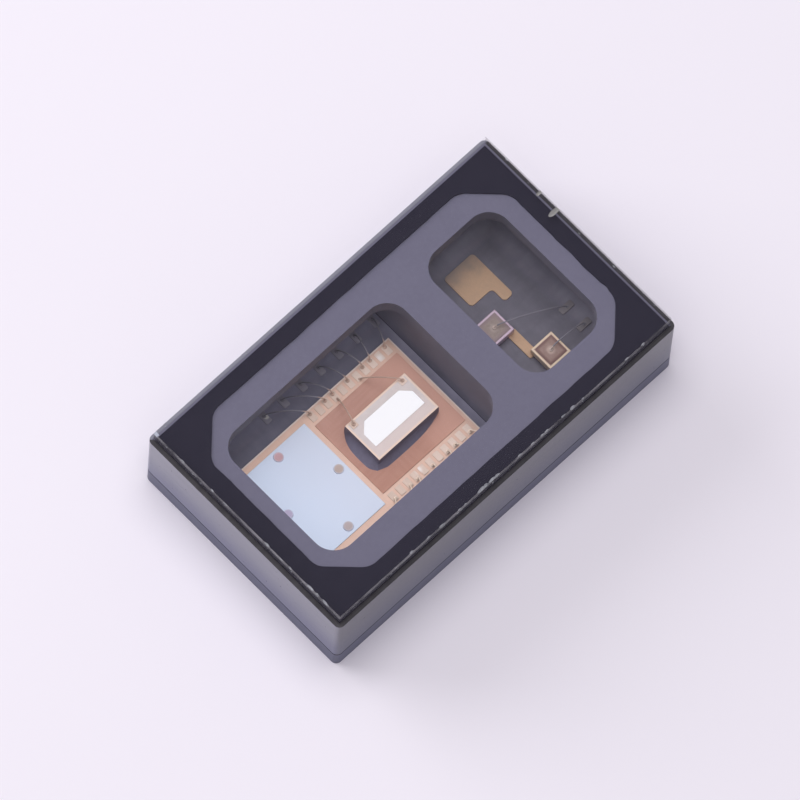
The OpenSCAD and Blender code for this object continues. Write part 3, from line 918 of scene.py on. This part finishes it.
def solid_copy(node):
    """A copy of a solid's mesh, in millimetres, with its loose triangles merged."""
    shape = bmesh.new()
    shape.from_mesh(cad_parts[node].data)
    bmesh.ops.scale(shape, vec=(1 / MM,) * 3, verts=shape.verts)
    clean(shape)
    for face in shape.faces:
        face.material_index = 0
    return shape


def add_piece(name, shape, finishes, node):
    """Make a shape a finished object in place of a solid, riding on the part's one body."""
    bmesh.ops.scale(shape, vec=(MM,) * 3, verts=shape.verts)
    bmesh.ops.recalc_face_normals(shape, faces=shape.faces)
    for face in shape.faces:
        face.smooth = True
    mesh = bpy.data.meshes.new(name)
    shape.to_mesh(mesh)
    shape.free()
    mesh.set_sharp_from_angle(angle=SHARP_ANGLE)
    for finish in finishes:
        mesh.materials.append(finish.material)
    piece = bpy.data.objects.new(name, mesh)
    bpy.context.scene.collection.objects.link(piece)
    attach(piece, BODY)
    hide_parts(node)


def softened(node, name, finish, width, corner=0.0):
    """A solid's own form with its edges eased and, if asked, its upright corners rounded."""
    shape = solid_copy(node)
    if corner:
        bevel(shape, upright_edges(shape), corner, SMALL_CORNER_STEPS)
    soften(shape, width)
    add_piece(name, shape, [finish], node)


def dress(node, finish):
    """Give a solid that keeps its own shape a finish."""
    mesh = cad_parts[node].data
    mesh.materials.clear()
    mesh.materials.append(finish.material)


# Lid

def window_cutters():
    """Openings of the roof over the sensor and over the emitters."""
    window_y = half_w - SIDE_SILL
    low = Vector((0, WINDOW_SHIFT - window_y, roof_bottom - OVERCUT))
    high = Vector((0, WINDOW_SHIFT + window_y, lid_high.z + OVERCUT))
    sensor_start = Vector((-half_l + SENSOR_SILL, 0, 0))
    emitter_start = Vector((emitter_window_x0 - EMITTER_REVEAL.x, -EMITTER_REVEAL.y, 0))
    cutters = []
    for start, x1 in ((sensor_start, sensor_window_x1), (emitter_start, emitter_window_x1)):
        cutters.append(round_box(low + start, high + Vector((x1, 0, 0)), WINDOW_R))
    return cutters


def hollow_cutters():
    """Hollows under the roof, on both sides of the light barrier."""
    hollow_y = half_w - LID_WALL
    cutters = []
    for x0, x1 in ((-half_l + LID_WALL, sensor_window_x1), (emitter_window_x0, half_l - LID_WALL)):
        low = Vector((x0, -hollow_y, lid_low.z - OVERCUT))
        cutters.append(round_box(low, Vector((x1, hollow_y, roof_bottom)), CAVITY_R))
    return cutters


def rim_cutter():
    """Frame that takes the saw-cut step off the top of the lid."""
    beyond = Vector((OVERCUT, OVERCUT, 0))
    inset = Vector((RIM_INSET, RIM_INSET, 0))
    above = Vector((0, 0, OVERCUT))
    block = box_shape(Vector((lid_low.x, lid_low.y, rim_bottom)) - beyond, lid_high + beyond + above)
    return carve(block, [box_shape(lid_low + inset, lid_high - inset + 2 * above)])


def on_step(place):
    """True for a point at the step's level or above, on any side of the rim but the far one."""
    outside_x = abs(place.x) > half_l - RIM_INSET - TOUCH
    outside_y = place.y < RIM_INSET + TOUCH - half_w
    return place.z > rim_bottom - TOUCH and (outside_x or outside_y)


def moulded_lid():
    """Lid with two windows, the hollows under its roof and a saw-cut rim whose step is painted near-black but
    on the far side.
    """
    cutters = [*window_cutters(), *hollow_cutters(), rim_cutter()]
    shape = carve(round_box(lid_low, lid_high, PACKAGE_R, PACKAGE_STEPS), cutters)
    clean(shape)
    whole = shape.verts[:] + shape.edges[:] + shape.faces[:]
    bmesh.ops.bisect_plane(shape, geom=whole, plane_co=(0, half_w - RIM_INSET, 0), plane_no=(0, 1, 0))
    for face in shape.faces:
        stepped = all(on_step(vert.co) for vert in face.verts)
        face.material_index = 1 if stepped else 0
    soften(shape, LID_EDGE)
    add_piece("moulded_lid", shape, [LID_FINISH, RIM_FINISH], "lid")


# Adhesive ring

def wavering_ring():
    """Adhesive ring whose inner edge wavers where it was squeezed out, with one small nick."""
    inset = RING_W - Vector((0, 0, OVERCUT))
    opening = round_box(ring_low + inset + RING_SHIFT, ring_high - inset + RING_SHIFT, RING_CUT, 1)
    bevel(opening, upright_edges(opening), RING_ROUND, RING_STEPS)
    level = [edge for edge in opening.edges if rise(edge) < TOUCH]
    long_sides = [edge for edge in level if edge.calc_length() > RING_LONG_SIDE]
    bmesh.ops.subdivide_edges(opening, edges=long_sides, cuts=RING_SIDE_CUTS)
    for vert in opening.verts:
        flat = Vector((vert.co.x, vert.co.y, 0))
        wave = sum(noise.noise(flat * rate) * share for rate, share in RING_WAVES)
        nick = max(0.0, 1 - (flat - RING_NICK).length / RING_NICK_R)
        vert.co += flat.normalized() * (wave * RING_WAVER + nick * RING_NICK_DEPTH)
    shape = carve(box_shape(ring_low, ring_high - RING_BACK), [opening])
    add_piece("black_adhesive_ring", shape, [ADHESIVE_FINISH], "glass_adhesive")


# Cover glass

def add_lump(cutter, centre, radius, spread, draw):
    """One irregular lump, to be broken out of the glass, stretched by its spread along X, Y and Z."""
    form = Matrix.Translation(centre) @ Matrix.Diagonal((*spread, 1))
    lump = bmesh.ops.create_icosphere(cutter, subdivisions=2, radius=radius, matrix=form)
    for vert in lump["verts"]:
        vert.co += (vert.co - centre) * draw.uniform(*CHIP_LUMPS)


def add_chip(cutter, centre, radius, draw, along_x):
    """One random chip, longer along its edge."""
    length = draw.uniform(*CHIP_LENGTH)
    width = draw.uniform(*CHIP_WIDTH)
    depth = draw.uniform(*CHIP_DEPTH)
    spread = (length, width, depth) if along_x else (width, length, depth)
    add_lump(cutter, centre, radius, spread, draw)


def edge_chips(draw):
    """Chips along the edges, from the listed ones to the smallest."""
    cutter = bmesh.new()
    top = glass_high.z
    margin = SMALL_CHIP_MARGIN
    for x, radius in SIDE_CHIPS:
        add_chip(cutter, Vector((x, glass_low.y, top - draw.uniform(*CHIP_DROP))), radius, draw, True)
    for y, radius in END_CHIPS:
        add_chip(cutter, Vector((glass_low.x, y, top - draw.uniform(*CHIP_DROP))), radius, draw, False)
    for _ in range(SMALL_CHIPS):
        radius = draw.uniform(*SMALL_CHIP_R)
        height = top - draw.uniform(*SMALL_CHIP_DROP)
        x = draw.uniform(glass_low.x + margin, glass_high.x - margin)
        y = draw.uniform(glass_low.y + margin, glass_high.y - margin)
        side = draw.choice((glass_low.y, glass_low.y, glass_high.y))
        end = draw.choice((glass_low.x, glass_low.x, glass_high.x))
        if draw.random() < SMALL_CHIPS_ON_SIDES:
            add_chip(cutter, Vector((x, side, height)), radius, draw, True)
        else:
            add_chip(cutter, Vector((end, y, height)), radius, draw, False)
    return cutter


def glass_finish(normal):
    """Finish for a face of the glass that looks this way, as its place in the list."""
    if abs(normal.z) > LEVEL_FACE:
        return POLISHED
    if normal.y > FAR_FACE:
        return FAR_SIDE
    return FAR_END if normal.x > FAR_FACE else SAWN


def chipped_cover_glass():
    """Cover glass with polished faces, sawn sides and chips along its edges."""
    draw = random.Random(CHIP_SEED)
    shape = box_shape(glass_low, glass_high)
    bevel(shape, shape.edges[:], GLASS_EDGE, 1)
    for face in shape.faces:
        face.material_index = glass_finish(face.normal)
    chips = edge_chips(draw)
    bright = bmesh.new()
    for y, radius in FAR_CHIPS:
        centre = Vector((glass_high.x - radius / 2, y, glass_high.z))
        add_lump(bright, centre, radius, FAR_CHIP_SHAPE, draw)
    corner = bmesh.new()
    add_chip(corner, Vector((glass_low.x, glass_high.y, glass_high.z)), CORNER_CHIP_R, draw, False)
    for cutter, finish in ((chips, CHIPPED), (bright, BRIGHT_CHIP), (corner, DIM_CHIP)):
        for face in cutter.faces:
            face.material_index = finish
    shape = carve(shape, [chips, bright, corner])
    add_piece("chipped_cover_glass", shape, GLASS_FINISHES, "cover_glass")


# Dies

def round_contacts():
    """Four round contacts on the photodiode, dished inside a narrow rim."""
    shape = bmesh.new()
    thickness = dot_high.z - dot_low.z
    for place in dot_places():
        where = Matrix.Translation((place.x, place.y, (dot_low.z + dot_high.z) / 2))
        made = bmesh.ops.create_cone(shape, cap_ends=True, segments=CONTACT_SIDES, radius1=CONTACT_R,
                                     radius2=CONTACT_R * CONTACT_TAPER, depth=thickness, matrix=where)
        faces = [face for vert in made["verts"] for face in vert.link_faces]
        top = max(faces, key=lambda face: face.calc_center_median().z)
        bmesh.ops.inset_region(shape, faces=[top], thickness=CONTACT_R * CONTACT_RIM, depth=0.0)
        bmesh.ops.translate(shape, vec=(0, 0, -thickness * CONTACT_DISH), verts=top.verts)
    add_piece("round_photodiode_contacts", shape, [DOT_FINISH], "photodiode_contacts")


def swell(along):
    """Share of the glue's reach along a side, from one end at -1 to the other at 1."""
    return max(0.0, 1 - abs((along + FILLET_SKEW) / (1 + FILLET_SKEW)) ** 3)


def glue_fillet():
    """Epoxy squeezed out past two sides of the stacked die, climbing them."""
    centre = (stack_low + stack_high) / 2
    half = (stack_high - stack_low) / 2
    skin = Vector((FILLET_SKIN, FILLET_SKIN, 0))
    low = Vector((stack_low.x, stack_low.y, glue_low.z)) - skin
    high = Vector((stack_high.x, stack_high.y, glue_low.z + FILLET_H)) + skin
    shape = box_shape(low, high)
    bmesh.ops.subdivide_edges(shape, edges=shape.edges[:], cuts=FILLET_CUTS, use_grid_fill=True)
    corner = low + Vector((FILLET_ROUND, FILLET_ROUND, 0))
    for vert in shape.verts:
        lean = (1 - (vert.co.z - low.z) / FILLET_H) ** 2
        across = (vert.co.x - centre.x) / half.x
        beside = (vert.co.y - centre.y) / half.y
        if vert.co.x < low.x + TOUCH:
            vert.co.x -= FILLET_REACH.x * lean * swell(beside)
        if vert.co.y < low.y + TOUCH:
            vert.co.y -= FILLET_REACH.y * lean * swell(across)
        out = Vector((vert.co.x - corner.x, vert.co.y - corner.y))
        if out.x < 0 and out.y < 0:
            out *= max(-out.x, -out.y) / out.length
            vert.co.x = corner.x + out.x
            vert.co.y = corner.y + out.y
    add_piece("glue_fillet", shape, [EPOXY_FINISH], "stacked_die_attach")


def emitter(kind, colours):
    """Emitter die with a chamfered mesa rim, its contact and the glue under it."""
    prefix = kind + "_emitter"
    crystal = emitter_crystal(prefix, colours)
    film = emitter_film(prefix, colours)
    shape = solid_copy(prefix + "_die")
    top = max(vert.co.z for vert in shape.verts)
    rim = [edge for edge in shape.edges if all(vert.co.z > top - TOUCH for vert in edge.verts)]
    bevel(shape, rim, MESA_CHAMFER, EASE_STEPS)
    bevel(shape, upright_edges(shape), MESA_CORNER, EASE_STEPS)
    add_piece(prefix + "_mesa", shape, [crystal], prefix + "_die")
    softened(prefix + "_contact", prefix + "_contact_film", film,
             CONTACT_EDGE, CONTACT_CORNER)
    dress(prefix + "_attach", EPOXY_FINISH)


# Bond wires

def wire_path(start, end, height):
    """Points of a loop that leaves its ball and lands on its finger upright."""
    points = []
    for step in range(WIRE_STEPS + 1):
        turn = math.pi * step / WIRE_STEPS
        point = start.lerp(end, (1 - math.cos(turn)) / 2)
        point.z += height * math.sin(turn)
        points.append(point)
    return points


def add_tube(shape, path):
    """A drawn wire along a path."""
    curve = bpy.data.curves.new("wire", "CURVE")
    curve.dimensions = "3D"
    curve.bevel_depth = WIRE_R
    curve.bevel_resolution = WIRE_ROUNDNESS
    curve.use_fill_caps = True
    spline = curve.splines.new("POLY")
    spline.points.add(len(path) - 1)
    for point, place in zip(spline.points, path):
        point.co = (*place, 1.0)
    drawn = bpy.data.objects.new("wire", curve)
    mesh = bpy.data.meshes.new_from_object(drawn)
    shape.from_mesh(mesh)
    bpy.data.objects.remove(drawn)
    bpy.data.curves.remove(curve)
    bpy.data.meshes.remove(mesh)


def add_wire(shape, start, end, height):
    """A wire with its ball bond at the start and a pressed stitch at the end."""
    add_tube(shape, wire_path(start + Vector((0, 0, BALL_H)), end + Vector((0, 0, WIRE_R)), height))
    flattened = Matrix.Diagonal((1, 1, BALL_FLATNESS * BALL_H / BALL_R, 1))
    ball = Matrix.Translation(start + Vector((0, 0, BALL_H / 2))) @ flattened
    bmesh.ops.create_uvsphere(shape, radius=BALL_R, matrix=ball, **BALL_FACETS)
    heading = math.atan2(end.y - start.y, end.x - start.x)
    pressed = Matrix.Rotation(heading, 4, "Z") @ Matrix.Diagonal((*STITCH_SHAPE, 1))
    stitch = Matrix.Translation(end + Vector((0, 0, WIRE_R / 2))) @ pressed
    bmesh.ops.create_uvsphere(shape, radius=STITCH_R, matrix=stitch, **BALL_FACETS)


def bond_wires(name, node, loops, height):
    """A group of wires, each from a start to an end."""
    shape = bmesh.new()
    for start, end in loops:
        add_wire(shape, start, end, height)
    add_piece(name, shape, [WIRE_FINISH], node)


def pad_x(index):
    """Middle of a bond pad along its row."""
    return shield_low.x + (index + 0.5) * (shield_high.x - shield_low.x) / PADS_PER_ROW


def sensor_loops():
    """From the outer half of a bond pad to the middle of each finger, in both rows."""
    loops = []
    for index in range(FINGERS_PER_ROW):
        share = index / (FINGERS_PER_ROW - 1)
        pad = round(share * (PADS_PER_ROW - 1))
        finger_x = finger_low.x + FINGER_W / 2 + share * (finger_high.x - finger_low.x - FINGER_W)
        for side in (-1, 1):
            start = Vector((pad_x(pad), side * (pad_high.y - BALL_R), pad_high.z))
            loops.append((start, Vector((finger_x, side * (finger_high.y - FINGER_L / 2), finger_high.z))))
    return loops


def link_loops():
    """From the stacked die's two pads to the inner half of two pads in the row."""
    loops = []
    stitch_y = pad_high.y - PAD_W + 2 * WIRE_R
    for pad, x in zip(LINK_PADS, (link_low.x + LINK_PAD_L / 2, link_high.x - LINK_PAD_L / 2)):
        start = Vector((x, (link_low.y + link_high.y) / 2, link_high.z))
        loops.append((start, Vector((pad_x(pad), stitch_y, pad_high.z))))
    return loops


def emitter_loop(prefix, finger_y):
    """From the middle of an emitter to its bond finger."""
    low, high = box_mm(prefix + "_contact")
    start = Vector(((low.x + high.x) / 2, (low.y + high.y) / 2, high.z))
    return [(start, Vector(((end_low.x + end_high.x) / 2, finger_y, end_high.z)))]


# Floor and light

def add_floor():
    """Plain pale floor."""
    shape = bmesh.new()
    bmesh.ops.create_grid(shape, x_segments=1, y_segments=1, size=FLOOR_REACH)
    mesh = bpy.data.meshes.new("floor")
    shape.to_mesh(mesh)
    shape.free()
    finish = Finish("pale_floor", specular=0.1)
    cloud = finish.grain(FLOOR_CLOUDS)
    finish.paint("Base Color", finish.mix(cloud, (0.91, 0.86, 0.945), (0.93, 0.88, 0.965)))
    finish.paint("Roughness", 0.8)
    mesh.materials.append(finish.material)
    floor = bpy.data.objects.new("floor", mesh)
    bpy.context.scene.collection.objects.link(floor)


def add_soft_lamp(name, direction, size, level):
    """Round area lamp that looks at the part; at level 1 it lights a white card facing it to white.

    Glossy surfaces mirror the pale surround only, so the lamp leaves no highlight.
    """
    lamp = bpy.data.lights.new(name, "AREA")
    lamp.shape = "DISK"
    lamp.size = size * MM
    lamp.energy = level * (math.pi * LAMP_DISTANCE * MM) ** 2
    holder = bpy.data.objects.new(name, lamp)
    holder.location = direction.normalized() * LAMP_DISTANCE * MM
    holder.rotation_euler = direction.to_track_quat("Z", "Y").to_euler()
    holder.visible_glossy = False
    bpy.context.scene.collection.objects.link(holder)


def add_world():
    """Pale surround: softer light for matt surfaces, white for what mirrors or shows it."""
    world = bpy.data.worlds.new("pale_surround")
    world.use_nodes = True
    nodes = Nodes(world.node_tree)
    background = world.node_tree.nodes["Background"]
    nodes.feed(background.inputs["Color"], SURROUND_COLOUR)
    seen = nodes.node("ShaderNodeLightPath", {}, {}, "Is Camera Ray")
    for ray in ("Is Glossy Ray", "Is Transmission Ray"):
        seen = seen.at_least(nodes.node("ShaderNodeLightPath", {}, {}, ray))
    nodes.feed(background.inputs["Strength"], AMBIENT + (SHOWN - AMBIENT) * seen)
    bpy.context.scene.world = world


# Build

softened("substrate", "laminate_substrate", LAMINATE_FINISH, SUBSTRATE_EDGE)
moulded_lid()
wavering_ring()
chipped_cover_glass()
dress("solder_lands", LAND_FINISH)
dress("lid_bond_line", ADHESIVE_FINISH)
for place in ("sensor", "emitter"):
    softened(place + "_bond_fingers", "plated_" + place + "_fingers", FINGER_FINISH,
             LAND_EDGE, LAND_CORNER)
softened("emitter_common_land", "plated_common_land", LAND_FINISH, LAND_EDGE, LAND_CORNER)
softened("emitter_spare_land", "plated_spare_land", SHADED_FAR_EDGE_FINISH,
         LAND_EDGE, SPARE_LAND_CORNER)
dress("sensor_die_attach", EPOXY_FINISH)
softened("sensor_die", "sensor_silicon_die", SENSOR_FINISH, DIE_EDGE)
softened("photodiode_filter", "pale_blue_filter", COATING_FINISH, FILM_EDGE)
round_contacts()
softened("circuit_shield", "coppery_shield", SHIELD_FINISH, FILM_EDGE)
softened("sensor_bond_pads", "sensor_pad_rows", PAD_FINISH, PAD_EDGE, PAD_CORNER)
glue_fillet()
softened("stacked_die", "stacked_silicon_die", STACKED_FINISH, DIE_EDGE)
softened("stacked_die_mirror", "bright_mirror_field", MIRROR_FINISH, FILM_EDGE)
softened("stacked_die_pads", "stacked_corner_pads", PAD_FINISH, PAD_EDGE, PAD_CORNER)
for kind, colours in EMITTERS.items():
    emitter(kind, colours)
bond_wires("sensor_wire_loops", "sensor_bond_wires", sensor_loops(), SENSOR_WIRE_RISE)
bond_wires("link_wire_loops", "link_bond_wires", link_loops(), LINK_WIRE_RISE)
for kind, finger_y in (("infrared", end_high.y - FINGER_W / 2), ("red", end_low.y + FINGER_W / 2)):
    loops = emitter_loop(kind + "_emitter", finger_y)
    bond_wires(kind + "_wire_loop", kind + "_emitter_wire", loops, EMITTER_WIRE_RISE)
add_floor()
for name, (direction, size, level) in LAMPS.items():
    add_soft_lamp(name, direction, size, level)
add_world()

bpy.context.scene.view_settings.view_transform = "Standard"
